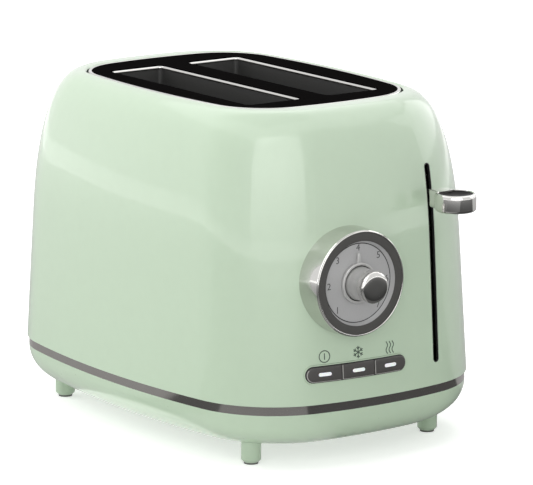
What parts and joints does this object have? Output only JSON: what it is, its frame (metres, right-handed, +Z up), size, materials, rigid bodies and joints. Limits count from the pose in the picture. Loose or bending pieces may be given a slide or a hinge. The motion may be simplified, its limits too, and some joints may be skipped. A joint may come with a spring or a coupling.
{
  "type": "pop-up toaster",
  "caption": "Retro pop-up bread toaster with a rounded painted cover, long bread slots, a side lever, a browning dial and a row of lit buttons.",
  "frame": {"origin": "on the table, midway between the four feet", "axes": "+X to the right seen from the controls, +Y from the control end to the back, +Z up"},
  "size_m": [0.182, 0.282, 0.1885],
  "materials": {
    "cover_paint": "gloss",
    "base_gloss": "gloss",
    "dark_chrome": "polished dark",
    "chrome": "polished",
    "rubber": "matt",
    "screw_steel": "zinc plated",
    "panel_black": "gloss",
    "liner_steel": "bright lip",
    "ring_dark": "anodised satin",
    "face_silver": "satin",
    "stem_brushed": "brushed",
    "button_dark": "satin",
    "light_white": "translucent",
    "sheet_steel": "mill finish",
    "wire_steel": "bright",
    "mica": "mica sheet",
    "heater_alloy": "oxidised",
    "core_iron": "bare",
    "coil_copper": "enamelled winding",
    "board_resin": "bare board",
    "inner_plastic": "moulded"
  },
  "bodies": {
    "frame": {"base_pan": "base_gloss", "base_screws": "screw_steel", "belt_band": "dark_chrome", "board_holder": "inner_plastic", "body_shell": "cover_paint", "browning_pot": "inner_plastic", "button_frame": "chrome", "chassis_floor": "sheet_steel", "control_board": "board_resin", "cord_gland": "rubber", "dial_bezel": "chrome", "dial_face": "face_silver", "dial_ring": "ring_dark", "foot_pads": "rubber", "front_plate": "sheet_steel", "guide_rod": "wire_steel", "heat_shield_left": "sheet_steel", "heat_shield_right": "sheet_steel", "heater_card_center": "mica", "heater_card_left": "mica", "heater_card_right": "mica", "heater_ribbons": "heater_alloy", "leg_front_left": "base_gloss", "leg_front_right": "base_gloss", "leg_rear_left": "base_gloss", "leg_rear_right": "base_gloss", "magnet_coil": "coil_copper", "magnet_core": "core_iron", "rear_plate": "sheet_steel", "return_spring": "wire_steel", "rod_bracket": "sheet_steel", "slot_liner_left": "liner_steel", "slot_liner_right": "liner_steel", "switches": "inner_plastic", "top_panel": "panel_black", "top_trim_ring": "chrome"},
    "lift": {"lever_knob": "chrome", "lever_inlay": "panel_black", "lever_arm": "sheet_steel", "carriage": "sheet_steel", "latch_plate": "sheet_steel", "bread_rack_left": "sheet_steel", "bread_rack_right": "sheet_steel"},
    "knob": {"knob_skirt": "face_silver", "knob_stem": "stem_brushed", "knob_cap": "chrome", "pot_shaft": "stem_brushed"},
    "cancel": {"cancel_button": "button_dark", "cancel_light": "light_white"},
    "defrost": {"defrost_button": "button_dark", "defrost_light": "light_white"},
    "reheat": {"reheat_button": "button_dark", "reheat_light": "light_white"},
    "tray": {"crumb_tray": "sheet_steel", "tray_front": "base_gloss"},
    "guard_left_inner": {"guard_left_inner": "wire_steel"},
    "guard_left_outer": {"guard_left_outer": "wire_steel"},
    "guard_right_inner": {"guard_right_inner": "wire_steel"},
    "guard_right_outer": {"guard_right_outer": "wire_steel"}
  },
  "joints": [
    {"name": "lever_slide", "type": "slide", "parent": "frame", "child": "lift", "axis": [0, 0, 1], "range_m": [-0.075, 0.01], "stiffness_N_per_m": 200, "springref_m": 0.0081, "deforming": ["return_spring"]},
    {"name": "knob_turn", "type": "hinge", "parent": "frame", "child": "knob", "pos_m": [-0.0195, -0.135, 0.1004], "axis": [0, -1, 0], "range_deg": [-135, 135]},
    {"name": "cancel_press", "type": "slide", "parent": "frame", "child": "cancel", "axis": [0, 1, 0], "range_m": [0, 0.0012], "stiffness_N_per_m": 800, "springref_m": -0.0005},
    {"name": "defrost_press", "type": "slide", "parent": "frame", "child": "defrost", "axis": [0, 1, 0], "range_m": [0, 0.0012], "stiffness_N_per_m": 800, "springref_m": -0.0005},
    {"name": "reheat_press", "type": "slide", "parent": "frame", "child": "reheat", "axis": [0, 1, 0], "range_m": [0, 0.0012], "stiffness_N_per_m": 800, "springref_m": -0.0005},
    {"name": "tray_slide", "type": "slide", "parent": "frame", "child": "tray", "axis": [0, 1, 0], "range_m": [0, 0.19]},
    {"name": "guard_left_inner_swing", "type": "hinge", "parent": "frame", "child": "guard_left_inner", "pos_m": [-0.0103, 0, 0.04], "axis": [0, -1, 0], "range_deg": [-0.8, 5.1]},
    {"name": "guard_left_outer_swing", "type": "hinge", "parent": "frame", "child": "guard_left_outer", "pos_m": [-0.0415, 0, 0.04], "axis": [0, 1, 0], "range_deg": [-0.8, 5.1]},
    {"name": "guard_right_inner_swing", "type": "hinge", "parent": "frame", "child": "guard_right_inner", "pos_m": [0.0103, 0, 0.04], "axis": [0, 1, 0], "range_deg": [-0.8, 5.1]},
    {"name": "guard_right_outer_swing", "type": "hinge", "parent": "frame", "child": "guard_right_outer", "pos_m": [0.0415, 0, 0.04], "axis": [0, -1, 0], "range_deg": [-0.8, 5.1]}
  ],
  "couplings": [
    {"joint": "guard_left_inner_swing", "follows": "lever_slide", "rad_per_m": -1.1636},
    {"joint": "guard_left_outer_swing", "follows": "lever_slide", "rad_per_m": -1.1636},
    {"joint": "guard_right_inner_swing", "follows": "lever_slide", "rad_per_m": -1.1636},
    {"joint": "guard_right_outer_swing", "follows": "lever_slide", "rad_per_m": -1.1636}
  ]
}
